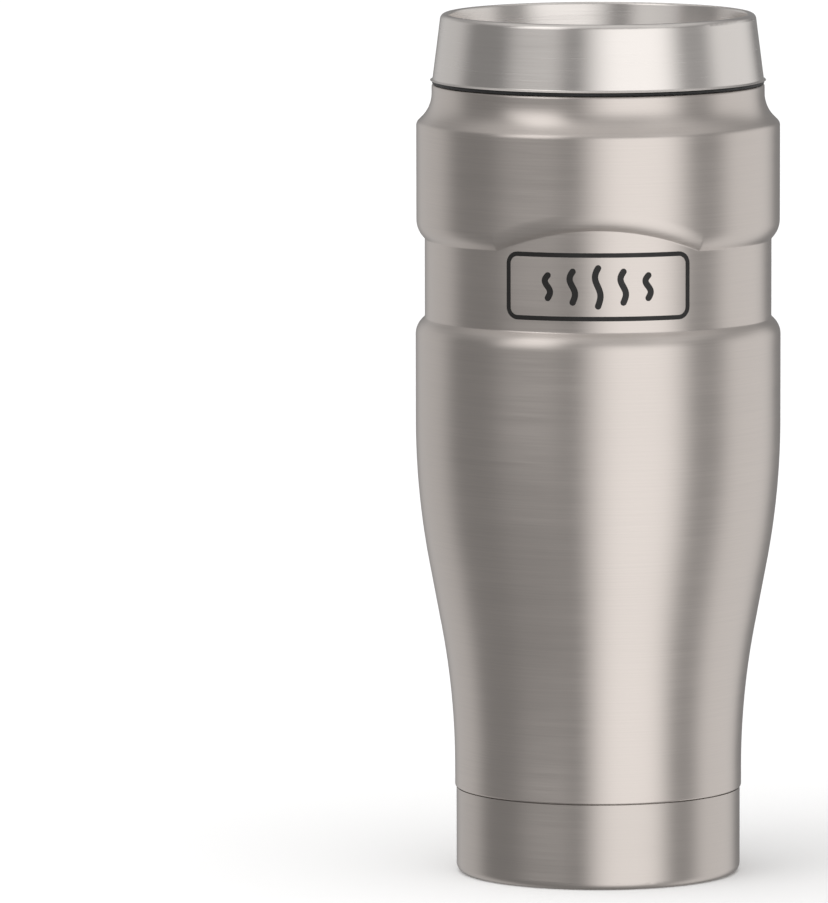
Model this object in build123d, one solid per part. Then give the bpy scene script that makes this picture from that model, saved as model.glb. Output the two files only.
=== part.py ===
from build123d import *
from math import cos, radians, sin, sqrt
import os

# An insulated travel mug: a double-walled steel flask with a screw-on drinking lid.
# Millimetres. The origin is the middle of the base, +Z is up and the front is -Y.
# Outlines are (radius, height) corners, each with its own rounding.

# ---------------------------------------------------------------- flask, outside
SHEET = 0.5  # outer steel
MOUTH_Z = 176.4
NECK_R = 36.98
BARREL_R = 40.6
UPPER_R = 40.4  # barrel above the waist
WAIST_R = 38.55
WAIST_IN = BARREL_R - WAIST_R
FLARE_RISE = 2.2  # height of the flare above the waist
SHOULDER_Z = 167.8  # widest corner of the shoulder
WAIST_TOP_Z = 142.0
WAIST_BOTTOM_Z = 124.5
TAPER_TOP_Z = 85.3  # corners of the taper, before its long rounding
TAPER_BOTTOM_Z = 39.5
TAPER_ROUND = 172.0
FOOT_R = 31.95
FOOT_Z = 19.2  # where the body ends above the base cap
SOCKET_R = 30.85  # the body's hidden lower end, inside the base cap
SOCKET_Z = 4.0

ARCH_HALF_ANGLE = 35.0
ARCH_RISE = 5.0
ARCH_STEPS = 10

CAP_R = 31.65
CAP_TOP_Z = 19.0
CAP_CORNER = 1.8
CAP_HOLLOW = 0.8  # how far the middle of the base is pushed up

# ---------------------------------------------------------------- flask, inside
LINER = 0.4  # inner steel
LINER_R = 35.4
LINER_NECK_R = 34.6
LINER_FOOT_R = 27.9
LINER_FLOOR_Z = 9.5
BEAD_R = 32.8  # pressed-in bead that the lid's lower seal sits on
BEAD_TOP_Z = 157.0
BEAD_HEIGHT = 2.0
LIP_R = LINER_NECK_R + LINER

FOIL_R = LINER_R + LINER + 0.15
FOIL = 0.15
FOIL_SPAN = (104.0, 146.0)

VACUUM_FLOOR_R = SOCKET_R - SHEET
PORT_R = 1.2  # evacuation hole
GETTER_R = 4.0
GETTER_X = 15.0

# ---------------------------------------------------------------- screw thread
LEAD = 8.0
THREAD_STARTS = 2
THREAD_WIDTH = 1.5
THREAD_SWEEP = 300.0
THREAD_Z = 162.5
SKIRT_R = 33.2
RIB_TIP_R = 34.1  # lid's rib
GROOVE_TIP_R = 33.7  # liner's rib, reaching inwards

# ---------------------------------------------------------------- lid
COLLAR_TOP_Z = 192.0
COLLAR_BOTTOM_Z = 177.25
COLLAR_TOP_R = 34.95
COLLAR_FOOT_R = 36.78
COLLAR_FLARE_R = 37.3
COLLAR_FLARE_RISE = 0.4
COLLAR_INNER_TOP_R = 33.2
COLLAR_INNER_R = 31.2
COLLAR_ROUND = 1.25  # crest, outside
COLLAR_INNER_ROUND = 0.6  # crest, inside
COLLAR = 0.5  # steel
RIM_SEAL_R = 36.9
CORE_TOP_Z = 188.0
CORE_GAP = 0.15

DECK_Z = 180.0
DECK_UNDER_Z = 176.4
DECK_R = 33.0
DECK_EDGE = 1.0  # rounding of the deck's edge
GUTTER_Z = 178.3  # outer side of the gutter, at the foot of the collar
GUTTER_LOW_Z = 177.4
GUTTER_R = 29.75
POCKET_R = 21.5
POCKET_FLOOR_Z = 177.4
POCKET_WALL = 1.93  # width of the pocket's sloping walls
POCKET_CORNER = 2.6
POCKET_HALF_ANGLE = 43.0
SLIT = (27.3, 28.5)
SLIT_HALF_ANGLE = 37.8
BEVEL_R = 29.35  # bevel over the slit, down towards the pocket
BEVEL_DROP = 0.5
RAIL_R = 30.15  # lip outside the slit
RAIL_INNER_R = 28.0
RAIL_Z = 180.1
RAIL_EDGE = 0.35

LABEL_R = 18.45
LABEL_SLOPE = 1.45  # width of the slope that goes on down into the moat
MOAT_Z = 179.0
MOAT_R = 20.44
MOAT_FLOOR = 0.2
LABEL_INNER_R = 13.8
LABEL_TOP_Z = 181.3
DIAL_TOP_Z = 182.0
DIAL_R = 16.98
DIAL_BEVEL = 0.32
DIAL_RING = 0.6  # thickness of the open ring over the label
DIAL_HUB_R = 13.65
DIAL_GROOVE = (11.55, 12.93)
DIAL_GROOVE_Z = 180.8
WINDOW_START = 20.3  # the window in the dial's ring, opposite the lever
WINDOW_SWEEP = 50.0
LEVER_ANGLE = 225.0
LEVER_R = 29.1
LEVER_ROOT = -0.1
LEVER_WIDTH = 3.0
LEVER_UNDER_Z = 180.8
LEVER_TOP_Z = 184.0
LEVER_TIP_Z = 183.2
PEG_R = 1.0
PEGS_AT = (3.0, 9.0)

HOUSING_FLOOR_Z = 160.0
HOUSING_R_IN = 31.2
PORT_LIP_Z = 157.2
FLOW_PORT_R = 11.5

# ---------------------------------------------------------------- valve
VALVE_TRAVEL = 3.0
DIAL_TURN = 90.0
CAM_LEAD = VALVE_TRAVEL * 360 / DIAL_TURN
SHAFT_R = 4.0
SHAFT_BORE_R = SHAFT_R + 0.06
SHAFT_BOTTOM_Z = 166.0
SEAL_GROOVE = 1.2  # groove of the shaft's O-ring: its height, middle and floor
SEAL_GROOVE_Z = DECK_Z - 1.6
SEAL_GROOVE_R = SHAFT_R - 0.8
PIN_R = 0.9
PIN_Z = 168.5
PIN_HALF_LENGTH = 6.8
PIN_SLOT = 2.4
SLOT_MARGIN = 17.0
SLEEVE_R = 7.0
SLEEVE_BORE_R = 4.15
SLEEVE_TOP_Z = 172.5
GUIDE_R = SLEEVE_R + 0.25
GUIDE_OUTER_R = 8.8
GUIDE_BOTTOM_Z = 164.0
KEY_ANGLE = 45.0
KEY_WIDTH = 1.8
KEY_DEPTH = 0.8
DISC_R = 13.5
DISC_Z = 151.0
VALVE_SEAL = 1.2
SEAL_TOP_Z = PORT_LIP_Z - 0.05 - VALVE_TRAVEL
CLEARANCE = 0.05


# ---------------------------------------------------------------- helpers
def rounded(corners, radii):
    """Closed face in the radius-height plane, with a rounding at each corner."""
    points = [(r, 0, z) for r, z in corners]
    if not any(radii):
        return make_face(Polyline(*points, close=True))
    return make_face(FilletPolyline(*points, radius=radii, close=True))


def turned(corners, radii=None):
    """Solid of revolution about Z."""
    return revolve(rounded(corners, radii or [0] * len(corners)), axis=Axis.Z)


def arc_block(inner, outer, low, high, start, sweep):
    """Block between two radii and two heights, over part of a turn."""
    section = rounded([(inner, low), (outer, low), (outer, high), (inner, high)], [0] * 4)
    return Rot(0, 0, start) * revolve(section, axis=Axis.Z, revolution_arc=sweep)


def radial_face(angle, corners):
    """Polygon of (radius, height) corners in the upright plane at an angle."""
    c = cos(radians(angle))
    s = sin(radians(angle))
    return make_face(Polyline(*[(r * c, r * s, z) for r, z in corners], close=True))


def helical(inner, outer, width, lead, middle_z, start, sweep):
    """Rib that climbs right-handed about Z; middle_z is its height at its start angle."""
    steps = max(3, round(sweep / 20))
    faces = []
    for i in range(steps + 1):
        turn = sweep * i / steps
        z = middle_z + lead * turn / 360
        low = z - width / 2
        high = z + width / 2
        corners = [(inner, low), (outer, low), (outer, high), (inner, high)]
        faces.append(radial_face(start + turn, corners))
    return loft(faces)


def normal(first, second):
    """Unit normal on the left of the way from first to second."""
    along = Vector(second[0] - first[0], second[1] - first[1]).normalized()
    return Vector(-along.Y, along.X)


def moved_left(corners, radii, distance):
    """The same path a distance to its left, with roundings that stay concentric."""
    moved = []
    new_radii = []
    for i, here in enumerate(corners):
        into = normal(corners[i - 1], here) if i else normal(here, corners[1])
        out = normal(here, corners[i + 1]) if i + 1 < len(corners) else into
        step = (into + out) * (distance / (1 + into.dot(out)))
        moved.append((here[0] + step.X, here[1] + step.Y))
        turns_left = into.X * out.Y - into.Y * out.X > 0
        change = -distance if turns_left else distance
        new_radii.append(max(radii[i] + change, 0.05) if radii[i] else 0)
    return moved, new_radii


def sheet(corners, radii, thickness):
    """Turned sheet metal: a path with its thickness on its left."""
    back, back_radii = moved_left(corners, radii, thickness)
    return turned(corners + back[::-1], radii + back_radii[::-1])


def mirrored_pair(solid):
    """A solid and its copy half a turn on."""
    return solid + Rot(0, 0, 180) * solid


# ---------------------------------------------------------------- flask
def flask_path():
    """Outside of the flask from the mouth down to the base cap, and its roundings."""
    corners = [
        (NECK_R, MOUTH_Z),
        (NECK_R, SHOULDER_Z + UPPER_R - NECK_R),
        (UPPER_R, SHOULDER_Z),
        (UPPER_R, WAIST_TOP_Z + FLARE_RISE),
        (WAIST_R, WAIST_TOP_Z),
        (WAIST_R, WAIST_BOTTOM_Z),
        (BARREL_R, WAIST_BOTTOM_Z - WAIST_IN),
        (BARREL_R, TAPER_TOP_Z),
        (FOOT_R, TAPER_BOTTOM_Z),
        (FOOT_R, FOOT_Z),
        (SOCKET_R, FOOT_Z),
        (SOCKET_R, SOCKET_Z),
    ]
    radii = [0.6, 7.5, 1.5, 5.5, 0.5, 0.5, 4.5, TAPER_ROUND, TAPER_ROUND, 0.4, 0, 0]
    return corners, radii


def arch_height(angle):
    """Height of the arched crease above the waist, at an angle from the front."""
    half_width = WAIST_R * sin(radians(ARCH_HALF_ANGLE))
    radius = (half_width**2 + ARCH_RISE**2) / (2 * ARCH_RISE)
    across = WAIST_R * sin(radians(angle))
    return WAIST_TOP_Z + ARCH_RISE - radius + sqrt(radius**2 - across**2)


def with_arch(body, inset):
    """The body with the waist band raised into an arch at the front."""
    inner = WAIST_R - inset
    shift = inset * (sqrt(2) - 1)
    low = WAIST_TOP_Z - 5
    high = WAIST_TOP_Z + ARCH_RISE + 2 * WAIST_IN
    ring = arc_block(inner - 4, inner + 5, low, high, -90 - ARCH_HALF_ANGLE, 2 * ARCH_HALF_ANGLE)
    faces = []
    for i in range(ARCH_STEPS + 1):
        angle = (ARCH_HALF_ANGLE + 2) * (2 * i / ARCH_STEPS - 1)
        crease = arch_height(angle) + shift
        corners = [(inner - 6, low - 2), (inner + 6, low - 2), (inner + 6, crease + 6), (inner - 6, crease - 6)]
        faces.append(radial_face(angle - 90, corners))
    core = Pos(0, 0, (low + high) / 2) * Cylinder(inner, high - low + 2)
    return body - (ring & loft(faces)) + core


def flask_body(inset):
    """Everything inside the flask's outer surface, moved in by an inset."""
    corners, radii = flask_path()
    moved, new_radii = moved_left(corners, radii, -inset) if inset else (corners, radii)
    bottom = SOCKET_Z - inset
    moved[-1] = (moved[-1][0], bottom)
    moved[0] = (moved[0][0], MOUTH_Z - inset)
    outline = moved + [(0, bottom), (0, MOUTH_Z - inset)]
    return with_arch(turned(outline, new_radii + [0, 0]), inset)


def outer_shell():
    mouth = Pos(0, 0, MOUTH_Z) * Cylinder(LIP_R, 6 * SHEET)
    return flask_body(0) - flask_body(SHEET) - mouth


def inner_liner():
    slope = LINER_R - BEAD_R
    corners = [
        (LINER_NECK_R, MOUTH_Z),
        (LINER_NECK_R, BEAD_TOP_Z),
        (BEAD_R, BEAD_TOP_Z),
        (BEAD_R, BEAD_TOP_Z - BEAD_HEIGHT),
        (LINER_R, BEAD_TOP_Z - BEAD_HEIGHT - slope),
        (LINER_R, TAPER_TOP_Z),
        (LINER_FOOT_R, TAPER_BOTTOM_Z),
        (LINER_FOOT_R, LINER_FLOOR_Z),
        (0, LINER_FLOOR_Z),
    ]
    radii = [0, 0.8, 0.6, 0.6, 1.5, TAPER_ROUND, TAPER_ROUND, 6.0, 0]
    liner = sheet(corners, radii, LINER)
    for start in range(THREAD_STARTS):
        angle = 90 + 360 * start / THREAD_STARTS
        liner += helical(
            GROOVE_TIP_R, LINER_NECK_R + LINER / 2, THREAD_WIDTH, LEAD, THREAD_Z, angle, THREAD_SWEEP
        )
    return liner


def vacuum_floor():
    """Dished plate welded into the foot of the shell, with the evacuation hole."""
    corners = [
        (VACUUM_FLOOR_R, SOCKET_Z + 4),
        (VACUUM_FLOOR_R, SOCKET_Z),
        (6.0, SOCKET_Z),
        (5.0, SOCKET_Z + 1),
        (PORT_R, SOCKET_Z + 1),
    ]
    radii = [0, 1.0, 0.5, 0.5, 0]
    return sheet(corners, radii, -SHEET)


def seal_bead():
    """Solder bead that closes the evacuation hole."""
    top = SOCKET_Z + 1
    cap = Pos(0, 0, top) * Sphere(2.4) & Pos(0, 0, top - 1.5) * Cylinder(3, 3)
    return cap + Pos(0, 0, top + SHEET / 2) * Cylinder(PORT_R, SHEET)


def getter_clip():
    """Steel ring spot-welded to the vacuum floor round the getter."""
    base = SOCKET_Z + SHEET
    corners = [(GETTER_R - 1, base + 0.3), (GETTER_R + 0.3, base + 0.3), (GETTER_R + 0.3, base + 1.8)]
    ring = sheet(corners, [0, 0.2, 0], -0.3)
    return Pos(GETTER_X, 0, 0) * ring


def getter_pellet():
    base = SOCKET_Z + SHEET + 0.3
    pellet = Pos(GETTER_X, 0, base + 0.9) * Cylinder(GETTER_R, 1.8)
    return chamfer(pellet.edges(), 0.25)


def radiation_foil():
    """Foil wrapped round the straight part of the liner, inside the vacuum."""
    low, high = FOIL_SPAN
    return turned([(FOIL_R, low), (FOIL_R + FOIL, low), (FOIL_R + FOIL, high), (FOIL_R, high)])


def base_cap():
    corners = [(CAP_R, CAP_TOP_Z), (CAP_R, 0), (26, 0), (24.8, CAP_HOLLOW), (0, CAP_HOLLOW)]
    return sheet(corners, [0, CAP_CORNER, 0.8, 0.8, 0], -SHEET)


# ---------------------------------------------------------------- lid
def drink_collar():
    """Steel drinking ring, folded over from the outside to the inside."""
    corners = [
        (COLLAR_FLARE_R, COLLAR_BOTTOM_Z),
        (COLLAR_FOOT_R, COLLAR_BOTTOM_Z + COLLAR_FLARE_RISE),
        (COLLAR_TOP_R, COLLAR_TOP_Z),
        (COLLAR_INNER_TOP_R, COLLAR_TOP_Z),
        (COLLAR_INNER_R, GUTTER_Z + 3 * CLEARANCE),
    ]
    ring = sheet(corners, [0, 0.3, COLLAR_ROUND, COLLAR_INNER_ROUND, 0], COLLAR)
    return ring - Pos(0, 0, COLLAR_BOTTOM_Z - 1) * Cylinder(COLLAR_FLARE_R + 1, 2)


def collar_core():
    """Moulded ring that fills the drinking collar and carries it."""
    outer_slope = (COLLAR_FOOT_R - COLLAR_TOP_R) / (COLLAR_TOP_Z - COLLAR_BOTTOM_Z)
    inner_slope = (COLLAR_INNER_TOP_R - COLLAR_INNER_R) / (COLLAR_TOP_Z - GUTTER_Z)
    outer = COLLAR_FOOT_R - COLLAR - CORE_GAP
    inner = COLLAR_INNER_R + COLLAR + CORE_GAP
    hole = DECK_R + CORE_GAP
    low = GUTTER_Z + 2 * CLEARANCE
    return turned(
        [
            (hole, COLLAR_BOTTOM_Z),
            (outer, COLLAR_BOTTOM_Z),
            (outer - outer_slope * (CORE_TOP_Z - COLLAR_BOTTOM_Z), CORE_TOP_Z),
            (inner + inner_slope * (CORE_TOP_Z - GUTTER_Z), CORE_TOP_Z),
            (inner, low),
            (hole, low),
        ]
    )


def rim_seal():
    """Silicone ring between the collar and the flask's mouth."""
    inner = SKIRT_R + 1.2
    low = MOUTH_Z + CLEARANCE
    high = COLLAR_BOTTOM_Z - CLEARANCE
    corners = [(inner, low), (RIM_SEAL_R, low), (RIM_SEAL_R, high), (inner, high)]
    return turned(corners, [0.15, 0.35, 0.2, 0.15])


def lid_housing():
    """Threaded cup of the lid, with the flow port in its floor."""
    corners = [
        (SKIRT_R + 1.0, COLLAR_BOTTOM_Z - CLEARANCE),
        (SKIRT_R + 1.0, 175.6),
        (SKIRT_R, 174.6),
        (SKIRT_R, HOUSING_FLOOR_Z + 0.2),
        (SKIRT_R - 1.5, HOUSING_FLOOR_Z + 0.2),
        (SKIRT_R - 1.5, BEAD_TOP_Z),
        (SKIRT_R - 0.9, BEAD_TOP_Z),
        (SKIRT_R - 1.2, BEAD_TOP_Z - 1),
        (29.0, BEAD_TOP_Z - 1),
        (28.0, HOUSING_FLOOR_Z - 1.8),
        (FLOW_PORT_R + 1.8, HOUSING_FLOOR_Z - 1.8),
        (FLOW_PORT_R + 1.2, PORT_LIP_Z),
        (FLOW_PORT_R, PORT_LIP_Z),
        (FLOW_PORT_R, HOUSING_FLOOR_Z),
        (HOUSING_R_IN - 1, HOUSING_FLOOR_Z),
        (HOUSING_R_IN - 1, HOUSING_FLOOR_Z + 1.4),
        (HOUSING_R_IN, HOUSING_FLOOR_Z + 2.4),
        (HOUSING_R_IN, DECK_UNDER_Z - CLEARANCE),
        (DECK_R + 0.1, DECK_UNDER_Z - CLEARANCE),
        (DECK_R + 0.1, COLLAR_BOTTOM_Z - CLEARANCE),
    ]
    housing = turned(corners)
    for start in range(THREAD_STARTS):
        angle = 360 * start / THREAD_STARTS
        housing += helical(SKIRT_R - 0.4, RIB_TIP_R, THREAD_WIDTH, LEAD, THREAD_Z, angle, THREAD_SWEEP)
    return housing


def lid_seal():
    """Silicone ring at the foot of the skirt, with two lips."""
    inner = SKIRT_R - 1.5 + CLEARANCE
    low = BEAD_TOP_Z + 0.1
    corners = [
        (inner, low),
        (SKIRT_R + 0.2, low),
        (SKIRT_R + 0.2, low + 0.8),
        (SKIRT_R - 0.4, low + 1.4),
        (SKIRT_R + 0.2, low + 2.0),
        (SKIRT_R + 0.2, low + 2.8),
        (inner, low + 2.8),
    ]
    return turned(corners, [0, 0.3, 0.2, 0.3, 0.2, 0.3, 0])


def pocket_plan(inset, height):
    """Outline of a drinking pocket at a height, with all its sides moved in by an inset."""
    inner = POCKET_R + inset
    across = sin(radians(POCKET_HALF_ANGLE))
    ahead = cos(radians(POCKET_HALF_ANGLE))
    side = []
    for r in (inner, DECK_R):
        along = sqrt(r**2 - inset**2)
        side.append((along * across - inset * ahead, -along * ahead - inset * across))
    near, far = side
    outline = [
        ThreePointArc((-near[0], near[1]), (0, -inner), near),
        Line(near, far),
        ThreePointArc(far, (0, -DECK_R), (-far[0], far[1])),
        Line((-far[0], far[1]), (-near[0], near[1])),
    ]
    plan = make_face(outline)
    inner_corners = sorted(plan.vertices(), key=lambda v: v.X**2 + v.Y**2)[:2]
    return Pos(0, 0, height) * fillet(inner_corners, POCKET_CORNER - inset)


def pocket_cut():
    """Room of a drinking pocket: an arc with sloping walls, up to the slit's outer side."""
    rise = 1.0
    slope = POCKET_WALL / (DECK_Z - POCKET_FLOOR_Z)
    top = pocket_plan(-rise * slope, DECK_Z + rise)
    floor = pocket_plan(POCKET_WALL, POCKET_FLOOR_Z)
    room = loft([top, floor], ruled=True)
    return room & Pos(0, 0, DECK_Z) * Cylinder(SLIT[1], 2 * (DECK_Z - DECK_UNDER_Z))


def slope_r(height):
    """Radius of the slope round the label ring, at a height."""
    return LABEL_R + LABEL_SLOPE * (LABEL_TOP_Z - height) / (LABEL_TOP_Z - MOAT_Z)


def lid_deck():
    """Moulded top of the lid, with two drinking slits and the bearing for the dial."""
    corners = [
        (SHAFT_BORE_R, DECK_UNDER_Z),
        (GUIDE_R, DECK_UNDER_Z),
        (GUIDE_R, GUIDE_BOTTOM_Z),
        (GUIDE_OUTER_R, GUIDE_BOTTOM_Z),
        (GUIDE_OUTER_R, DECK_UNDER_Z),
        (DECK_R, DECK_UNDER_Z),
        (DECK_R, GUTTER_Z),
        (COLLAR_INNER_R, GUTTER_Z),
        (GUTTER_R + 0.15, GUTTER_LOW_Z),
        (GUTTER_R, DECK_Z),
        (MOAT_R, DECK_Z),
        (LABEL_R + LABEL_SLOPE + MOAT_FLOOR, MOAT_Z),
        (LABEL_R + LABEL_SLOPE, MOAT_Z),
        (slope_r(DECK_Z), DECK_Z),
        (SHAFT_BORE_R, DECK_Z),
    ]
    deck = turned(corners, [0] * 8 + [0.25, DECK_EDGE, 0.1, 0, 0, 0, 0])
    start = -90 - SLIT_HALF_ANGLE
    sweep = 2 * SLIT_HALF_ANGLE
    slit = arc_block(*SLIT, DECK_UNDER_Z - 1, DECK_Z, start, sweep)
    rail_foot = DECK_Z - BEVEL_DROP - 1
    rail_section = rounded(
        [
            (RAIL_INNER_R, rail_foot),
            (RAIL_R, rail_foot),
            (RAIL_R, RAIL_Z),
            (BEVEL_R, RAIL_Z),
            (RAIL_INNER_R, rail_foot + 0.7),
        ],
        [0, 0, RAIL_EDGE, 0.1, 0],
    )
    rail = Rot(0, 0, start) * revolve(rail_section, axis=Axis.Z, revolution_arc=sweep)
    room_above = arc_block(SLIT[0], RAIL_R, DECK_Z - BEVEL_DROP - 0.5, DECK_Z + 1, start, sweep)
    deck = deck - mirrored_pair(room_above) + mirrored_pair(rail)
    deck = deck - mirrored_pair(pocket_cut()) - mirrored_pair(slit)
    key_length = DECK_UNDER_Z - GUIDE_BOTTOM_Z
    key = Pos(GUIDE_R - KEY_DEPTH / 2 + 0.3, 0, GUIDE_BOTTOM_Z + key_length / 2) * Box(
        KEY_DEPTH + 0.2, KEY_WIDTH - 0.4, key_length
    )
    return deck + mirrored_pair(Rot(0, 0, KEY_ANGLE) * key)


def label_ring():
    """Fixed ring under the dial's open ring: it carries the marks and slopes down to the deck."""
    low = DECK_Z + 0.02
    corners = [
        (LABEL_INNER_R, low),
        (slope_r(low), low),
        (LABEL_R, LABEL_TOP_Z),
        (LABEL_INNER_R, LABEL_TOP_Z),
    ]
    return turned(corners, [0, 0, 0.1, 0])


# ---------------------------------------------------------------- dial
def dial():
    """Disc, open ring and shaft that a person turns with the lever."""
    low = DECK_Z + 0.1
    ring_low = DIAL_TOP_Z - DIAL_RING
    seal_low = SEAL_GROOVE_Z - SEAL_GROOVE / 2
    seal_high = SEAL_GROOVE_Z + SEAL_GROOVE / 2
    groove_r = (DIAL_GROOVE[0] + DIAL_GROOVE[1]) / 2
    corners = [
        (0, SHAFT_BOTTOM_Z),
        (SHAFT_R, SHAFT_BOTTOM_Z),
        (SHAFT_R, seal_low),
        (SEAL_GROOVE_R, seal_low),
        (SEAL_GROOVE_R, seal_high),
        (SHAFT_R, seal_high),
        (SHAFT_R, low),
        (DIAL_HUB_R, low),
        (DIAL_HUB_R, ring_low),
        (DIAL_R + DIAL_BEVEL, ring_low),
        (DIAL_R, DIAL_TOP_Z),
        (DIAL_GROOVE[1], DIAL_TOP_Z),
        (groove_r, DIAL_GROOVE_Z),
        (DIAL_GROOVE[0], DIAL_TOP_Z),
        (0, DIAL_TOP_Z),
    ]
    radii = [0, 0.5, 0, 0, 0, 0, 0, 0, 0, 0.05, 0.05, 0.12, 0, 0.12, 0]
    solid = turned(corners, radii)
    window = arc_block(DIAL_HUB_R, DIAL_R + 1, ring_low - 1, DIAL_TOP_Z + 1, WINDOW_START, WINDOW_SWEEP)
    pin_hole = Pos(0, 0, PIN_Z) * Rot(0, 90, 0) * Cylinder(PIN_R + 0.01, 3 * SHAFT_R)
    solid = solid - window - pin_hole
    for r in PEGS_AT:
        solid -= Rot(0, 0, LEVER_ANGLE) * Pos(r, 0, DIAL_TOP_Z - 0.5) * Cylinder(PEG_R + 0.02, 2)
    return solid


def lever():
    """Bar that turns the dial, from the middle to the drinking collar."""
    low = DIAL_TOP_Z + 0.02
    side = [
        (LEVER_ROOT, low),
        (MOAT_R, low),
        (MOAT_R + 0.5, LEVER_UNDER_Z),
        (LEVER_R - 0.6, LEVER_UNDER_Z),
        (LEVER_R, LEVER_UNDER_Z + 0.7),
        (LEVER_R - 0.2, LEVER_TIP_Z),
        (2, LEVER_TOP_Z),
        (LEVER_ROOT, LEVER_TOP_Z - 0.3),
    ]
    outline = rounded(side, [0, 0, 0.3, 0.2, 0.2, 0.6, 2, 0.4])
    bar = extrude(outline, amount=LEVER_WIDTH / 2, dir=(0, 1, 0), both=True)
    bar = fillet(bar.edges().filter_by(Plane.XZ).group_by(Axis.Z)[-1], 0.45)
    for r in PEGS_AT:
        bar += Pos(r, 0, DIAL_TOP_Z - 0.5) * Cylinder(PEG_R, 1.4)
    return Rot(0, 0, LEVER_ANGLE) * bar


def cam_pin():
    """Steel cross pin through the dial's shaft; its ends run in the sleeve's slots."""
    pin = Rot(0, 90, 0) * Cylinder(PIN_R, 2 * PIN_HALF_LENGTH)
    return Pos(0, 0, PIN_Z) * chamfer(pin.edges(), 0.2)


def shaft_seal():
    """O-ring in the shaft's groove."""
    section_r = (SHAFT_BORE_R - SEAL_GROOVE_R) / 2 - 0.01
    return Pos(0, 0, SEAL_GROOVE_Z) * Torus(SEAL_GROOVE_R + section_r + 0.005, section_r)


# ---------------------------------------------------------------- valve
def valve_sleeve():
    """Sleeve that the cam pin lifts; two keys stop it turning."""
    corners = [
        (0, DISC_Z + 2.5),
        (SLEEVE_R - 1.2, DISC_Z + 2.5),
        (SLEEVE_R - 1.2, DISC_Z + 4.5),
        (SLEEVE_R, DISC_Z + 4.5),
        (SLEEVE_R, SLEEVE_TOP_Z),
        (SLEEVE_BORE_R, SLEEVE_TOP_Z),
        (SLEEVE_BORE_R, DISC_Z + 7.5),
        (0, DISC_Z + 7.5),
    ]
    sleeve = turned(corners, [0, 0, 0, 0, 0.5, 0.2, 0, 0])
    slot = helical(
        SLEEVE_BORE_R - 1,
        SLEEVE_R + 1,
        PIN_SLOT,
        CAM_LEAD,
        PIN_Z - VALVE_TRAVEL * (1 + SLOT_MARGIN / DIAL_TURN),
        -DIAL_TURN - SLOT_MARGIN,
        DIAL_TURN + 2 * SLOT_MARGIN,
    )
    groove_length = SLEEVE_TOP_Z - GUIDE_BOTTOM_Z + 5
    groove = Pos(SLEEVE_R, 0, SLEEVE_TOP_Z - groove_length / 2 + 0.5) * Box(
        2 * KEY_DEPTH, KEY_WIDTH, groove_length + 1
    )
    return sleeve - mirrored_pair(slot) - mirrored_pair(Rot(0, 0, KEY_ANGLE) * groove)


def valve_disc():
    """Disc that closes the flow port from below, clipped on the sleeve."""
    corners = [
        (0, DISC_Z),
        (DISC_R, DISC_Z),
        (DISC_R, SEAL_TOP_Z - VALVE_SEAL),
        (FLOW_PORT_R - 0.9, SEAL_TOP_Z - VALVE_SEAL),
        (SLEEVE_R + 0.6, DISC_Z + 4.4),
        (SLEEVE_R - 1.1, DISC_Z + 4.4),
        (SLEEVE_R - 1.1, DISC_Z + 2.4),
        (0, DISC_Z + 2.4),
    ]
    return turned(corners, [0, 0.8, 0.3, 0, 0.4, 0, 0, 0])


def valve_seal():
    """Flat silicone ring on the disc's shoulder."""
    low = SEAL_TOP_Z - VALVE_SEAL + 0.02
    inner = FLOW_PORT_R - 0.5
    outer = DISC_R - 0.4
    return turned([(inner, low), (outer, low), (outer, SEAL_TOP_Z), (inner, SEAL_TOP_Z)], [0, 0.2, 0.3, 0.2])


PIECES = {
    "outer_shell": outer_shell,
    "inner_liner": inner_liner,
    "vacuum_floor": vacuum_floor,
    "seal_bead": seal_bead,
    "getter_clip": getter_clip,
    "getter_pellet": getter_pellet,
    "radiation_foil": radiation_foil,
    "base_cap": base_cap,
    "drink_collar": drink_collar,
    "collar_core": collar_core,
    "rim_seal": rim_seal,
    "lid_housing": lid_housing,
    "lid_seal": lid_seal,
    "lid_deck": lid_deck,
    "label_ring": label_ring,
    "dial": dial,
    "lever": lever,
    "cam_pin": cam_pin,
    "shaft_seal": shaft_seal,
    "valve_sleeve": valve_sleeve,
    "valve_disc": valve_disc,
    "valve_seal": valve_seal,
}


def main():
    os.makedirs("parts", exist_ok=True)
    for name, make in PIECES.items():
        solid = make()
        solid.label = name
        export_step(solid, f"parts/{name}.step")
        print(f"{name}: {solid.volume / 1000:.2f} cm3")


main()
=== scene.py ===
"""Insulated travel mug: materials, the fine outer shell, printed marks, studio and camera."""

import math

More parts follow.
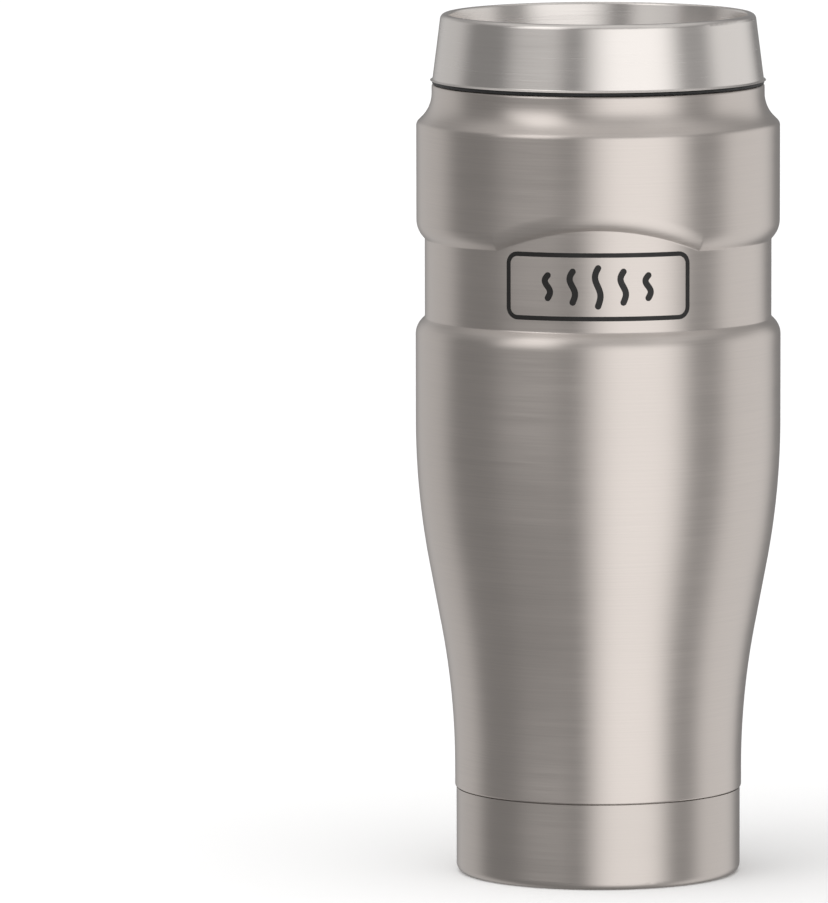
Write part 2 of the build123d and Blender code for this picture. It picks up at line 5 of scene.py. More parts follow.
import bpy
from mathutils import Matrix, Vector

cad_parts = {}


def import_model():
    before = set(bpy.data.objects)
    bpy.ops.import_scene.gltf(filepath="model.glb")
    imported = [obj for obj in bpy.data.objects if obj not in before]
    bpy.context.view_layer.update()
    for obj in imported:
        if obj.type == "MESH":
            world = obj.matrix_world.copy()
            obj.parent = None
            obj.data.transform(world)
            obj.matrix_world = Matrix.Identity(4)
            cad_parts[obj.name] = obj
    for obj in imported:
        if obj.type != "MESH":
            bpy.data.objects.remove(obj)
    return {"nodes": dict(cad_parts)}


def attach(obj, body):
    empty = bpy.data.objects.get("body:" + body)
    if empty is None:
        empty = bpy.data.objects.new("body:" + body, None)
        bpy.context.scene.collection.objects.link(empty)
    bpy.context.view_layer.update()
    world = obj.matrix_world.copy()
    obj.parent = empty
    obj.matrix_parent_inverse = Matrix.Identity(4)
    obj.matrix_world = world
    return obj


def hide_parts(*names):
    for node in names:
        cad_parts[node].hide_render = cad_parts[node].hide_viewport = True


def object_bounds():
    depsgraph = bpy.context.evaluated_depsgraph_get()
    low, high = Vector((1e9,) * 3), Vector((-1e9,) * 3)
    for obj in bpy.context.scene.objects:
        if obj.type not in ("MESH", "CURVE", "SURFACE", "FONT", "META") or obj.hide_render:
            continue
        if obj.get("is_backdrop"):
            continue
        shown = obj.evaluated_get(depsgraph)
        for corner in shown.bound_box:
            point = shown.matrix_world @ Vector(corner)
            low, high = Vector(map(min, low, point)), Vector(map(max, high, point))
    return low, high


MM = 0.001

# Outer shell, in millimetres, as the CAD has it.
SHEET = 0.5
LIP_R = 35.0
MOUTH_Z = 176.4
NECK_R = 36.98
BARREL_R = 40.6
UPPER_R = 40.4
WAIST_R = 38.55
SHOULDER_Z = 167.8
FLARE_RISE = 2.2
WAIST_TOP_Z = 142.0
WAIST_BOTTOM_Z = 124.5
TAPER_TOP_Z = 85.3
TAPER_BOTTOM_Z = 39.5
TAPER_ROUND = 172.0
FOOT_R = 31.95
FOOT_Z = 19.2
SOCKET_R = 30.85
SOCKET_Z = 4.0
TINY_ROUND = 0.05
SHELL_STEPS = 720  # steps round the shell
INNER_SKIP = 4  # the hidden inside uses every fourth point
LONGEST_STEP = 1.5  # along the outline
SUPPORT = 0.12  # distance of the supporting edges from each rounding
ARC_STEP_DEG = 5.0

# Arch over the badge panel.
ARCH_HALF_ANGLE = math.radians(35.0)
ARCH_RISE = 5.0
LIFT_BELOW = 10.0  # height under the waist's top over which the lift grows
LIFT_FULL = 8.0  # height above it with the full lift
LIFT_ABOVE = 10.0  # height over which the lift fades again

# Printed badge on the waist: a plain rounded frame with steam strokes.
PRINT_IN = 0.02  # how far ink reaches into the surface, and out of it
PRINT_OUT = 0.035
BADGE_Z = 134.7
BADGE_HALF_WIDTH = 20.6
BADGE_HALF_HEIGHT = 7.0
BADGE_CORNER = 2.2
BADGE_LINE = 1.0
STEAM_HEIGHTS = (5.0, 6.8, 8.4, 6.8, 5.0)
STEAM_PITCH = 5.6
STEAM_SWING = 0.75
STEAM_LINE = 1.4
STEAM_POINTS = 28
CORNER_STEPS = 8

# Marks on the label ring: drops for open, a bar for closed.
LABEL_FLOOR_Z = 181.3
MARK_THICK = 0.04
MARK_R = 15.25
OPEN_ANGLE = math.radians(45.0)
CLOSED_ANGLE = math.radians(-45.0)
DROP_SPREAD = math.radians(11.0)
DROP_HEIGHT = 2.3
DROP_WIDTH = 1.6
BAR_HALF_LENGTH = 2.6
BAR_WIDTH = 0.6
BAR_STEPS = 16

# Camera, from the photograph's perspective.
CAMERA_AT = (0.0, -2.5, 0.38)
CAMERA_PITCH = math.radians(-6.523)
CAMERA_YAW = math.radians(0.928)
CAMERA_ROLL = math.radians(0.107)
CAMERA_LENS = 450.1
CAMERA_SENSOR = 36.0


# ---------------------------------------------------------------- node helpers
def add(tree, kind, inputs=(), **settings):
    """Adds a node; an input that is a socket is linked, any other is set."""
    node = tree.nodes.new("ShaderNode" + kind)
    for key, value in settings.items():
        setattr(node, key, value)
    for key, value in dict(inputs).items():
        if isinstance(value, bpy.types.NodeSocket):
            tree.links.new(value, node.inputs[key])
        else:
            node.inputs[key].default_value = value
    return node


def calc(tree, operation, first, second=0.0, clamp=False):
    """Arithmetic on sockets or numbers."""
    node = add(tree, "Math", {0: first, 1: second}, operation=operation, use_clamp=clamp)
    return node.outputs[0]


def ranged(tree, value, low, high, to_low=0.0, to_high=1.0, smooth=False):
    """Maps a value from one range to another."""
    kind = "SMOOTHSTEP" if smooth else "LINEAR"
    inputs = {0: value, 1: low, 2: high, 3: to_low, 4: to_high}
    return add(tree, "MapRange", inputs, interpolation_type=kind).outputs[0]


def blend_colour(tree, factor, first, second):
    """Colour between two colours."""
    node = add(tree, "Mix", data_type="RGBA")
    for index, value in ((0, factor), (6, first), (7, second)):
        if isinstance(value, bpy.types.NodeSocket):
            tree.links.new(value, node.inputs[index])
        else:
            node.inputs[index].default_value = value
    return node.outputs[2]


def noise(tree, stretch, scale=1.0, detail=3.0, roughness=0.55, distortion=0.0):
    """Noise in the object's own metres, stretched along each axis."""
    where = add(tree, "TexCoord").outputs["Object"]
    placed = add(tree, "VectorMath", {0: where, 1: stretch}, operation="MULTIPLY").outputs[0]
    inputs = {
        "Vector": placed,
        "Scale": scale,
        "Detail": detail,
        "Roughness": roughness,
        "Distortion": distortion,
    }
    return add(tree, "TexNoise", inputs).outputs[0]


def rgba(colour, factor=1.0):
    """Opaque colour, made darker or paler by a factor."""
    return tuple(min(1.0, c * factor) for c in colour) + (1.0,)


def new_material(name):
    """Empty material with one shader."""
    material = bpy.data.materials.new(name)
    material.use_nodes = True
    tree = material.node_tree
    tree.nodes.clear()
    shader = add(tree, "BsdfPrincipled")
    output = add(tree, "OutputMaterial")
    tree.links.new(shader.outputs[0], output.inputs[0])
    return material, tree, shader


def bump(tree, shader, height, distance, strength=1.0, under=None):
    """Bump from a height; under is a normal that the bump starts from."""
    inputs = {"Height": height, "Distance": distance, "Strength": strength}
    if under is not None:
        inputs["Normal"] = under
    node = add(tree, "Bump", inputs)
    tree.links.new(node.outputs[0], shader.inputs["Normal"])


# ---------------------------------------------------------------- materials
def turned_steel(name, colour, rough, streak, depth, stretch=(45.0, 45.0, 3200.0), anisotropy=0.75):
    """Steel brushed round the axis: fine streaks in colour, roughness and bump."""
    material, tree, shader = new_material(name)
    fine = noise(tree, stretch, detail=4.0, roughness=0.62)
    band = noise(tree, (9.0, 9.0, 260.0), detail=2.0)
    cloud = noise(tree, (16.0, 16.0, 16.0), detail=2.0)
    lines = calc(tree, "ADD", calc(tree, "MULTIPLY", fine, 0.7), calc(tree, "MULTIPLY", band, 0.3))
    tone = ranged(tree, lines, 0.36, 0.64)
    base = blend_colour(tree, tone, rgba(colour, 1.0 - streak), rgba(colour, 1.0 + streak))
    clouded = blend_colour(tree, ranged(tree, cloud, 0.3, 0.7, 0.0, 0.5), base, rgba(colour, 0.985))
    tree.links.new(clouded, shader.inputs["Base Color"])
    tree.links.new(ranged(tree, lines, 0.35, 0.65, rough - 0.04, rough + 0.04), shader.inputs["Roughness"])
    around = add(tree, "Tangent", direction_type="RADIAL", axis="Z").outputs[0]
    tree.links.new(around, shader.inputs["Tangent"])
    shader.inputs["Metallic"].default_value = 1.0
    shader.inputs["Anisotropic"].default_value = anisotropy
    shader.inputs["Anisotropic Rotation"].default_value = 0.25
    bump(tree, shader, lines, depth)
    return material


def polished_steel(name, colour, rough, stain):
    """Electropolished steel, with faint clouding and a little orange peel."""
    material, tree, shader = new_material(name)
    cloud = noise(tree, (55.0, 55.0, 55.0), detail=4.0)
    peel = noise(tree, (900.0, 900.0, 900.0), detail=2.0)
    lines = noise(tree, (60.0, 60.0, 1800.0), detail=3.0)
    base = blend_colour(tree, ranged(tree, cloud, 0.35, 0.65), rgba(colour), rgba(stain))
    tree.links.new(base, shader.inputs["Base Color"])
    tree.links.new(ranged(tree, cloud, 0.3, 0.7, rough - 0.05, rough + 0.06), shader.inputs["Roughness"])
    shader.inputs["Metallic"].default_value = 1.0
    height = calc(tree, "ADD", calc(tree, "MULTIPLY", peel, 0.5), lines)
    bump(tree, shader, height, 0.000008)
    return material


def moulded(name, colour, rough, grain, edge=0.0, soft_edge=0.0, specular=0.5):
    """Moulded plastic: fine spark-eroded grain, uneven sheen, and paler convex edges, partly rubbed wear
    and partly a painted edge highlight.
    """
    material, tree, shader = new_material(name)
    fine = noise(tree, (5200.0, 5200.0, 5200.0), detail=2.0, roughness=0.6)
    flow = noise(tree, (45.0, 45.0, 45.0), detail=3.0, distortion=0.6)
    base = blend_colour(tree, ranged(tree, flow, 0.35, 0.65), rgba(colour, 0.88), rgba(colour, 1.12))
    if edge:
        # Convex edges are painted paler: partly rubbed wear, partly a painted edge highlight.
        point = add(tree, "NewGeometry").outputs["Pointiness"]
        wear_and_painted_highlight = ranged(tree, point, 0.53, 0.62, 0.0, edge)
        base = blend_colour(tree, wear_and_painted_highlight, base, rgba(colour, 3.0))
    tree.links.new(base, shader.inputs["Base Color"])
    uneven = calc(tree, "MULTIPLY", flow, 0.6)
    mixed = calc(tree, "ADD", uneven, calc(tree, "MULTIPLY", fine, 0.4))
    tree.links.new(ranged(tree, mixed, 0.3, 0.7, rough - 0.06, rough + 0.06), shader.inputs["Roughness"])
    shader.inputs["Specular IOR Level"].default_value = specular
    under = None
    if soft_edge:
        under = add(tree, "Bevel", {"Radius": soft_edge}, samples=4).outputs[0]
    bump(tree, shader, fine, grain, under=under)
    return material


def silicone(name, colour):
    """Soft matte silicone, with dust-fine texture and a faint sheen."""
    material, tree, shader = new_material(name)
    fine = noise(tree, (3000.0, 3000.0, 3000.0), detail=3.0)
    patch = noise(tree, (120.0, 120.0, 120.0), detail=3.0)
    base = blend_colour(tree, ranged(tree, patch, 0.35, 0.65), rgba(colour, 0.85), rgba(colour, 1.25))
    tree.links.new(base, shader.inputs["Base Color"])
    tree.links.new(ranged(tree, patch, 0.3, 0.7, 0.55, 0.7), shader.inputs["Roughness"])
    shader.inputs["Sheen Weight"].default_value = 0.05
    shader.inputs["Sheen Roughness"].default_value = 0.5
    bump(tree, shader, fine, 0.000012)
    return material


def cast_metal(name, colour, dark, rough, metallic, lump):
    """Solder or pressed powder: lumpy, mottled surface."""
    material, tree, shader = new_material(name)
    lumps = noise(tree, (1400.0, 1400.0, 1400.0), detail=5.0, roughness=0.65)
    patch = noise(tree, (260.0, 260.0, 260.0), detail=3.0)
    base = blend_colour(tree, ranged(tree, patch, 0.35, 0.65), rgba(colour), rgba(dark))
    tree.links.new(base, shader.inputs["Base Color"])
    tree.links.new(ranged(tree, lumps, 0.3, 0.7, rough - 0.08, rough + 0.1), shader.inputs["Roughness"])
    shader.inputs["Metallic"].default_value = metallic
    bump(tree, shader, lumps, lump)
    return material


def crinkled_foil(name, colour):
    """Thin foil with fine creases, painted darker along them as shade."""
    material, tree, shader = new_material(name)
    where = add(tree, "TexCoord").outputs["Object"]
    cells = add(tree, "TexVoronoi", {"Vector": where, "Scale": 260.0}, feature="DISTANCE_TO_EDGE")
    crease = ranged(tree, cells.outputs[0], 0.0, 0.12)
    wave = noise(tree, (180.0, 180.0, 180.0), detail=4.0)
    # The creases darken the colour as well as the bump: painted shade in the creases.
    base = blend_colour(tree, crease, rgba(colour, 0.82), rgba(colour))
    tree.links.new(base, shader.inputs["Base Color"])
    tree.links.new(ranged(tree, wave, 0.3, 0.7, 0.14, 0.26), shader.inputs["Roughness"])
    shader.inputs["Metallic"].default_value = 1.0
    bump(tree, shader, calc(tree, "ADD", crease, wave), 0.00012)
    return material


def printed_ink(name, colour, rough):
    """Pad-printed ink: slightly uneven cover and a fine pebble."""
    material, tree, shader = new_material(name)
    cover = noise(tree, (2600.0, 2600.0, 2600.0), detail=3.0)
    patch = noise(tree, (300.0, 300.0, 300.0), detail=2.0)
    base = blend_colour(tree, ranged(tree, cover, 0.3, 0.7), rgba(colour, 0.85), rgba(colour, 1.1))
    tree.links.new(base, shader.inputs["Base Color"])
    tree.links.new(ranged(tree, patch, 0.3, 0.7, rough - 0.06, rough + 0.06), shader.inputs["Roughness"])
    bump(tree, shader, cover, 0.000006)
    return material


def studio_paper(name, colour):
    """Pale matte floor with a barely visible tooth."""
    material, tree, shader = new_material(name)
    tooth = noise(tree, (900.0, 900.0, 900.0), detail=3.0)
    base = blend_colour(tree, tooth, rgba(colour, 0.985), rgba(colour))
    tree.links.new(base, shader.inputs["Base Color"])
    shader.inputs["Roughness"].default_value = 0.9
    shader.inputs["Specular IOR Level"].default_value = 0.1
    bump(tree, shader, tooth, 0.00002)
    return material


def make_materials():
    """Every material of the scene, by a short key."""
    black = (0.006, 0.006, 0.0063)
    return {
        "body": turned_steel("body_steel", (0.655, 0.602, 0.566), 0.33, 0.045, 0.0000022),
        "collar": turned_steel(
            "collar_steel", (0.775, 0.735, 0.705), 0.24, 0.025, 0.0000012, (45.0, 45.0, 4200.0), 0.6
        ),
        # The base cap's steel is painted about 7 % darker than the body's: painted shade near the floor.
        "base": turned_steel("base_steel_painted_shade", (0.61, 0.561, 0.527), 0.33, 0.045, 0.0000022),
        "inner": polished_steel("inner_steel", (0.68, 0.66, 0.63), 0.24, (0.6, 0.575, 0.54)),
        # The fourth number of each plastic pales its convex edges: partly wear, partly a painted edge
        # highlight.
        "deck": moulded("lid_plastic_deck", black, 0.42, 0.000006, 0.35, 0.0003),
        "dial": moulded("lid_plastic_dial", (0.0075, 0.0075, 0.0078), 0.38, 0.000005, 0.35, 0.0001),
        "lever": moulded("lid_plastic_lever", (0.008, 0.008, 0.0083), 0.36, 0.000005, 0.4, 0.0),
        "housing": moulded("lid_plastic_housing", (0.015, 0.015, 0.0155), 0.46, 0.000008, 0.25, 0.0),
        "valve": moulded("valve_plastic", (0.045, 0.045, 0.047), 0.36, 0.000006, 0.2, 0.0),
        "silicone": silicone("silicone", (0.011, 0.011, 0.0115)),
        "solder": cast_metal("solder", (0.62, 0.56, 0.42), (0.42, 0.37, 0.28), 0.42, 1.0, 0.00005),
        "getter": cast_metal("getter", (0.12, 0.12, 0.125), (0.07, 0.07, 0.07), 0.8, 0.3, 0.00008),
        "foil": crinkled_foil("foil", (0.86, 0.86, 0.87)),
        "pin": polished_steel("pin_steel", (0.62, 0.62, 0.62), 0.2, (0.55, 0.55, 0.54)),
        "ink": printed_ink("badge_ink", (0.007, 0.0062, 0.0058), 0.5),
        "white": printed_ink("label_ink", (0.78, 0.78, 0.77), 0.5),
        "floor": studio_paper("studio_floor", (0.9, 0.9, 0.9)),
    }


NODE_MATERIALS = {
    "base_cap": "base",
    "drink_collar": "collar",
    "inner_liner": "inner",
    "vacuum_floor": "inner",
    "getter_clip": "inner",
    "getter_pellet": "getter",
    "seal_bead": "solder",
    "radiation_foil": "foil",
    "collar_core": "housing",
    "lid_housing": "housing",
    "lid_deck": "deck",
    "label_ring": "dial",
    "dial": "dial",
    "lever": "lever",
    "rim_seal": "silicone",
    "lid_seal": "silicone",
    "shaft_seal": "silicone",
    "valve_seal": "silicone",
    "valve_sleeve": "valve",
    "valve_disc": "valve",
    "cam_pin": "pin",
}


def paint_cad_nodes(nodes, materials):
    """Gives each CAD body that is kept its own material."""
    for node, key in NODE_MATERIALS.items():
        slots = nodes[node].data.materials
        slots.clear()
        slots.append(materials[key])


# ---------------------------------------------------------------- mesh helpers
def new_piece(name, verts, faces, material, smooth=True):
    """Mesh object from vertices in millimetres."""
    mesh = bpy.data.meshes.new(name)
    mesh.from_pydata([(x * MM, y * MM, z * MM) for x, y, z in verts], [], faces)
    mesh.materials.append(material)
    mesh.polygons.foreach_set("use_smooth", [smooth] * len(mesh.polygons))
    mesh.update()
    piece = bpy.data.objects.new(name, mesh)
    bpy.context.scene.collection.objects.link(piece)
    return piece


def unit(dx, dz):
    """Direction of length one."""
    length = math.hypot(dx, dz)
    return dx / length, dz / length


def corner_arc(before, corner, after, radius):
    """Points and outward directions round a corner of a profile that runs down the outside."""
    ax, az = unit(corner[0] - before[0], corner[1] - before[1])
    bx, bz = unit(after[0] - corner[0], after[1] - corner[1])
    turn = math.atan2(ax * bz - az * bx, ax * bx + az * bz)
    side = math.copysign(1.0, turn)
    back = radius * math.tan(abs(turn) / 2)
    start = math.atan2(ax, -az)
    centre = (
        corner[0] - ax * back - az * radius * side,
        corner[1] - az * back + ax * radius * side,
    )
    arc_length = radius * abs(turn)
    steps = max(2, math.ceil(math.degrees(abs(turn)) / ARC_STEP_DEG), math.ceil(arc_length / LONGEST_STEP))
    points = []
    for i in range(steps + 1):
        angle = start + turn * i / steps
        out = (math.cos(angle), math.sin(angle))
        points.append((centre[0] - out[0] * radius * side, centre[1] - out[1] * radius * side, *out))
    return points


def straight_run(first, last):
    """Points between two ends of a straight run, close to both ends and evenly between."""
    length = math.dist(first[:2], last[:2])
    if length < 3 * SUPPORT:
        return []
    places = [SUPPORT]
    count = max(1, math.ceil((length - 2 * SUPPORT) / LONGEST_STEP))
    places += [SUPPORT + (length - 2 * SUPPORT) * i / count for i in range(1, count + 1)]
    points = []
    for place in places:
        t = place / length
        points.append(tuple(a + (b - a) * t for a, b in zip(first, last)))
    return points


def profile_points(corners, radii):
    """Smooth profile: (radius, height, outward radius, outward height) at each point."""
    pieces = []
    for i in range(1, len(corners) - 1):
        pieces.append(corner_arc(corners[i - 1], corners[i], corners[i + 1], radii[i]))
    first_out = pieces[0][0][2:]
    last_out = pieces[-1][-1][2:]
    pieces = [[(*corners[0], *first_out)], *pieces, [(*corners[-1], *last_out)]]
    points = list(pieces[0])
    for piece in pieces[1:]:
        points += straight_run(points[-1], piece[0])
        points += piece
    return points


def turned_piece(name, loop, steps, material, lift):
    """Closed solid of revolution; lift(z, angle) raises a point."""
    count = len(loop)
    verts = []
    for i in range(steps):
        angle = 2 * math.pi * i / steps
        c = math.cos(angle)
        s = math.sin(angle)
        verts += [(r * s, -r * c, z + lift(z, angle)) for r, z in loop]
    faces = []
    for i in range(steps):
        a = i * count
        b = ((i + 1) % steps) * count
        for j in range(count):
            k = (j + 1) % count
            faces.append((a + j, a + k, b + k, b + j))
    return new_piece(name, verts, faces, material)


# ---------------------------------------------------------------- outer shell
def shell_corners():
    """Outside of the shell from the mouth down to its hidden end, and its roundings."""
    corners = [
        (LIP_R, MOUTH_Z),
        (NECK_R, MOUTH_Z),
        (NECK_R, SHOULDER_Z + UPPER_R - NECK_R),
        (UPPER_R, SHOULDER_Z),
        (UPPER_R, WAIST_TOP_Z + FLARE_RISE),
        (WAIST_R, WAIST_TOP_Z),
        (WAIST_R, WAIST_BOTTOM_Z),
        (BARREL_R, WAIST_BOTTOM_Z - BARREL_R + WAIST_R),
        (BARREL_R, TAPER_TOP_Z),
        (FOOT_R, TAPER_BOTTOM_Z),
        (FOOT_R, FOOT_Z),
        (SOCKET_R, FOOT_Z),
        (SOCKET_R, SOCKET_Z),
    ]
    radii = [0, 0.6, 7.5, 1.5, 5.5, 0.5, 0.5, 4.5, TAPER_ROUND, TAPER_ROUND, 0.4, TINY_ROUND, 0]
    return corners, radii


def arch_rise(angle):
    """How far the crease is raised at an angle from the front."""
    if abs(angle) >= ARCH_HALF_ANGLE:
        return 0.0
    half = WAIST_R * math.sin(ARCH_HALF_ANGLE)
    radius = (half**2 + ARCH_RISE**2) / (2 * ARCH_RISE)
    across = WAIST_R * math.sin(angle)
    return ARCH_RISE - radius + math.sqrt(radius**2 - across**2)


def arch_lift(z, angle):
    """Raises the top of the waist band, and stretches the straight walls below and above."""
    turned = (angle + math.pi) % (2 * math.pi) - math.pi
    below = (z - WAIST_TOP_Z + LIFT_BELOW) / LIFT_BELOW
    above = (WAIST_TOP_Z + LIFT_FULL + LIFT_ABOVE - z) / LIFT_ABOVE
    share = max(0.0, min(1.0, below, above))
    return share * arch_rise(turned)


def make_outer_shell(material):
    """Outer steel wall, finer than the CAD's and with a soft flank round the arch."""
    points = profile_points(*shell_corners())
    outside = [(r, z) for r, z, _, _ in points]
    kept = points[::-INNER_SKIP]
    inside = [(r - SHEET * nr, z - SHEET * nz) for r, z, nr, nz in kept]
    shell = turned_piece("outer_shell.skin", outside + inside, SHELL_STEPS, material, arch_lift)
    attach(shell, "flask")
    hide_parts("outer_shell")
    return shell


# ---------------------------------------------------------------- printed marks
def on_waist(u, v, height):
    """A point of the unrolled waist, put on the steel."""
    radius = WAIST_R + height
    angle = u / WAIST_R
    return radius * math.sin(angle), -radius * math.cos(angle), v


def side_offsets(path, closed, half_width):
    """Left and right edge of a line of even width along a path."""
    count = len(path)
    left = []
    right = []
    for i, (u, v) in enumerate(path):
        before = path[i - 1] if closed or i else path[i]
        after = path[(i + 1) % count] if closed or i < count - 1 else path[i]
        du, dv = unit(after[0] - before[0], after[1] - before[1])
        left.append((u - dv * half_width, v + du * half_width))
        right.append((u + dv * half_width, v - du * half_width))
    return left, right


def round_end(point, away, half_width, steps=8):
    """Half circle round the end of a line, from its left edge to its right edge."""
    start = math.atan2(away[1], away[0]) + math.pi / 2
    arc = []
    for i in range(1, steps):
        angle = start - math.pi * i / steps
        arc.append((point[0] + half_width * math.cos(angle), point[1] + half_width * math.sin(angle)))
    return arc


def add_slab(verts, faces, cells, place, low, high):
    """Thin slab from flat cells of (u, v) points; place puts a point in space."""
    found = {}
    used = {}

    def index(point, level):
        key = (round(point[0], 5), round(point[1], 5), level)
        if key not in found:
            found[key] = len(verts)
            verts.append(place(point[0], point[1], level))
        return found[key]

    for cell in cells:
        faces.append([index(p, high) for p in cell])
        faces.append([index(p, low) for p in reversed(cell)])
        for first, second in zip(cell, cell[1:] + cell[:1]):
            one = index(first, high)
            two = index(second, high)
            used[(one, two)] = (first, second)
    for (one, two), (first, second) in used.items():
        if (two, one) not in used:
            faces.append([two, one, index(first, low), index(second, low)])


def line_cells(path, closed, width):
    """Cells of a line of even width, with round ends if it is open."""
    half = width / 2
    left, right = side_offsets(path, closed, half)
    count = len(path)
    cells = []
    for i in range(count if closed else count - 1):
        k = (i + 1) % count
        cells.append([left[i], right[i], right[k], left[k]])
    if not closed:
        ahead = (path[-1][0] - path[-2][0], path[-1][1] - path[-2][1])
        behind = (path[0][0] - path[1][0], path[0][1] - path[1][1])
        end = [left[-1], *round_end(path[-1], ahead, half), right[-1]]
        start = [right[0], *round_end(path[0], behind, half), left[0]]
        cells.append(end[::-1])
        cells.append(start[::-1])
    return cells


def rounded_frame():
    """Closed path of a rounded rectangle on the unrolled waist."""
    path = []
    inner_u = BADGE_HALF_WIDTH - BADGE_CORNER
    inner_v = BADGE_HALF_HEIGHT - BADGE_CORNER
    centres = ((inner_u, inner_v), (-inner_u, inner_v), (-inner_u, -inner_v), (inner_u, -inner_v))
    for quarter, (cu, cv) in enumerate(centres):
        for i in range(CORNER_STEPS + 1):
            angle = math.radians(90 * quarter + 90 * i / CORNER_STEPS)
            path.append((cu + BADGE_CORNER * math.cos(angle), cv + BADGE_CORNER * math.sin(angle)))
    return [(u, v + BADGE_Z) for u, v in filled_in(path, 1.0)]


def filled_in(path, step):
    """Closed path with extra points wherever it has a long straight side."""
    points = []
    for first, second in zip(path, path[1:] + path[:1]):
        count = max(1, math.ceil(math.dist(first, second) / step))
        for i in range(count):
            t = i / count
            points.append((first[0] + (second[0] - first[0]) * t, first[1] + (second[1] - first[1]) * t))
    return points


def steam_stroke(middle_u, height):
    """One wavy stroke that rises like steam."""
    path = []
    for i in range(STEAM_POINTS + 1):
        t = i / STEAM_POINTS
        swing = STEAM_SWING * math.sin(2 * math.pi * t) * (0.6 + 0.4 * t)
        path.append((middle_u + swing, BADGE_Z + height * (t - 0.5)))
    return path


def make_badge(material):
    """Frame and steam strokes, printed on the waist."""
    verts = []
    faces = []
    cells = line_cells(rounded_frame(), True, BADGE_LINE)
    add_slab(verts, faces, cells, on_waist, -PRINT_IN, PRINT_OUT)
    for i, height in enumerate(STEAM_HEIGHTS):
        middle = (i - (len(STEAM_HEIGHTS) - 1) / 2) * STEAM_PITCH
        cells = line_cells(steam_stroke(middle, height), False, STEAM_LINE)
        add_slab(verts, faces, cells, on_waist, -PRINT_IN, PRINT_OUT)
    badge = new_piece("badge_print", verts, faces, material, smooth=False)
    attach(badge, "flask")
    return badge


def drop_outline(steps=28):
    """Outline of a water drop, its tip upwards, centred on its middle."""
    points = []
    for i in range(steps):
        t = 2 * math.pi * i / steps
        width = DROP_WIDTH / 2 * math.sin(t) * math.sin(t / 2) ** 1.2 * 1.25
        points.append((-width, DROP_HEIGHT / 2 * math.cos(t)))
    return points


def label_place(middle_angle, u, v):
    """Point of the label floor, u along the ring and v outwards from the marks' circle."""
    radius = MARK_R + v
    angle = middle_angle - u / MARK_R
    return radius * math.cos(angle), radius * math.sin(angle)


def make_mark(name, material, middle_angle, shapes):
    """White print on the label ring from flat cells."""
    verts = []
    faces = []

    def place(u, v, height):
        x, y = label_place(middle_angle, u, v)
        return x, y, LABEL_FLOOR_Z + height

    for cells in shapes:
        add_slab(verts, faces, cells, place, -PRINT_IN, MARK_THICK)
    mark = new_piece(name, verts, faces, material, smooth=False)
    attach(mark, "lid")
    return mark


def make_lid_marks(material):
    """The marks that the dial's window shows: three drops when open, a bar when closed."""
    drop = drop_outline()
    spread = DROP_SPREAD * MARK_R
    drops = [[[(u + shift * spread, v) for u, v in drop]] for shift in (-1, 0, 1)]
    make_mark("open_mark", material, OPEN_ANGLE, drops)
    path = [(BAR_HALF_LENGTH * (2 * i / BAR_STEPS - 1), 0.0) for i in range(BAR_STEPS + 1)]
    bar = line_cells(path, False, BAR_WIDTH)
    make_mark("closed_mark", material, CLOSED_ANGLE, [bar])


# ---------------------------------------------------------------- studio
# Softboxes seen in the steel: azimuth from the front, inner and outer half angle, strength,
# and the elevations between which each fades in and fades out.
GROUND = (-84.0, -50.0)
SOFTBOXES = (
    (25.5, 5.0, 42.0, 1.02, GROUND, (18.0, 40.0)),
    (116.0, 8.0, 38.0, 0.57, GROUND, (12.0, 40.0)),
    (71.0, 8.0, 36.0, 0.125, GROUND, (10.0, 30.0)),
    (-136.0, 8.0, 36.0, 0.34, GROUND, (12.0, 40.0)),
    (-44.0, 6.0, 28.0, 0.04, GROUND, (10.0, 30.0)),
    (-18.0, 3.0, 22.0, 0.06, GROUND, (10.0, 30.0)),
    (-48.0, 6.0, 28.0, 1.05, (2.0, 26.0), (50.0, 72.0)),
    (62.0, 5.0, 26.0, 0.2, (22.0, 40.0), (60.0, 80.0)),
)
AMBIENT_LOW = 0.262  # glow of the room's lower part, and of its top
AMBIENT_HIGH = 0.72
AMBIENT_RISE = (0.4, 0.98)  # sines of the elevations between which it grows
BACKDROP = 0.97  # brightness behind the object
LIGHT_COLOUR = (1.0, 0.995, 0.99, 1.0)


def softbox_glow(tree, flat, height, box):
    """Brightness of one softbox in a direction: flat is its compass part, height its sine."""
    azimuth, inner, outer, strength, fade_in, fade_out = box
    a = math.radians(azimuth)
    towards = (math.sin(a), -math.cos(a), 0.0)
    inputs = {0: flat, 1: towards}
    across = add(tree, "VectorMath", inputs, operation="DOT_PRODUCT").outputs["Value"]
    cos_outer = math.cos(math.radians(outer))
    cos_inner = math.cos(math.radians(inner))
    wide = ranged(tree, across, cos_outer, cos_inner, smooth=True)
    sines = [math.sin(math.radians(max(-90.0, v))) for v in (*fade_in, *fade_out)]
    glow = calc(tree, "MULTIPLY", wide, strength)
    if sines[1] > sines[0]:
        glow = calc(tree, "MULTIPLY", glow, ranged(tree, height, sines[0], sines[1], smooth=True))
    fading = ranged(tree, height, sines[2], sines[3], 1.0, 0.0, smooth=True)
    return calc(tree, "MULTIPLY", glow, fading)


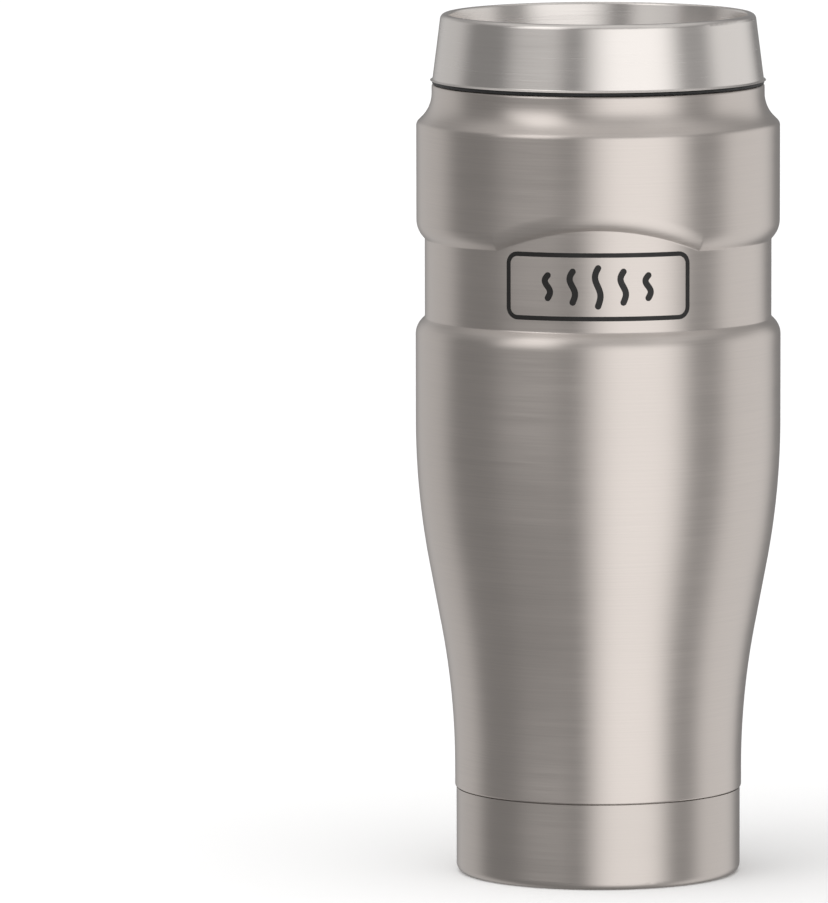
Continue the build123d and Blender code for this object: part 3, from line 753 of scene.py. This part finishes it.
def make_world():
    """Soft studio: upright softboxes round the object, and a plain pale backdrop behind it."""
    world = bpy.data.worlds.new("studio")
    bpy.context.scene.world = world
    world.use_nodes = True
    tree = world.node_tree
    tree.nodes.clear()
    ray = add(tree, "TexCoord").outputs["Generated"]
    level = add(tree, "VectorMath", {0: ray, 1: (1.0, 1.0, 0.0)}, operation="MULTIPLY").outputs[0]
    flat = add(tree, "VectorMath", {0: level}, operation="NORMALIZE").outputs[0]
    height = add(tree, "SeparateXYZ", {0: ray}).outputs[2]
    glow = ranged(tree, height, *AMBIENT_RISE, AMBIENT_LOW, AMBIENT_HIGH, smooth=True)
    for box in SOFTBOXES:
        glow = calc(tree, "ADD", glow, softbox_glow(tree, flat, height, box))
    seen = add(tree, "LightPath").outputs["Is Camera Ray"]
    backdrop = calc(tree, "MULTIPLY", seen, BACKDROP)
    unseen = calc(tree, "SUBTRACT", 1.0, seen)
    strength = calc(tree, "ADD", backdrop, calc(tree, "MULTIPLY", unseen, glow))
    background = add(tree, "Background", {"Strength": strength, "Color": LIGHT_COLOUR})
    output = add(tree, "OutputWorld")
    tree.links.new(background.outputs[0], output.inputs[0])


CEILING_STRENGTH = 1.9
CEILING_ANGLE = math.radians(100.0)
CEILING_TILT = (math.radians(12.0), math.radians(-14.0), 0.0)


def make_ceiling():
    """Broad overhead light that whitens the floor and drops a soft shadow."""
    data = bpy.data.lights.new("ceiling", "SUN")
    data.energy = CEILING_STRENGTH
    data.angle = CEILING_ANGLE
    light = bpy.data.objects.new("ceiling", data)
    light.rotation_euler = CEILING_TILT
    light.visible_glossy = False
    bpy.context.scene.collection.objects.link(light)


FLOOR_HALF = 9000.0


def make_floor(material):
    """Wide floor at the height that the mug stands on."""
    corners = [(-FLOOR_HALF, -FLOOR_HALF, 0), (FLOOR_HALF, -FLOOR_HALF, 0)]
    corners += [(FLOOR_HALF, FLOOR_HALF, 0), (-FLOOR_HALF, FLOOR_HALF, 0)]
    floor = new_piece("floor", corners, [(0, 1, 2, 3)], material)
    floor.visible_glossy = False
    floor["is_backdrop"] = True


def make_camera():
    """Camera where the photographer's stood."""
    data = bpy.data.cameras.new("camera")
    data.lens = CAMERA_LENS
    data.sensor_width = CAMERA_SENSOR
    data.clip_start = 0.05
    data.clip_end = 100.0
    camera = bpy.data.objects.new("camera", data)
    camera.location = CAMERA_AT
    camera.rotation_euler = (math.pi / 2 + CAMERA_PITCH, CAMERA_ROLL, CAMERA_YAW)
    bpy.context.scene.collection.objects.link(camera)
    bpy.context.scene.camera = camera


def write_size(cad_box):
    """Works out the box of the CAD bodies and the box of the finished pieces."""
    boxes = {"cad": cad_box, "visual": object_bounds()}
    plain = {name: [list(lo), list(hi)] for name, (lo, hi) in boxes.items()}


def main():
    """Dresses the CAD bodies, adds the finer pieces and sets up the studio."""
    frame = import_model()
    cad_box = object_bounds()
    bpy.context.scene.view_settings.view_transform = "Standard"
    make_camera()
    materials = make_materials()
    paint_cad_nodes(frame["nodes"], materials)
    make_outer_shell(materials["body"])
    make_badge(materials["ink"])
    make_lid_marks(materials["white"])
    make_world()
    make_ceiling()
    make_floor(materials["floor"])
    write_size(cad_box)


main()
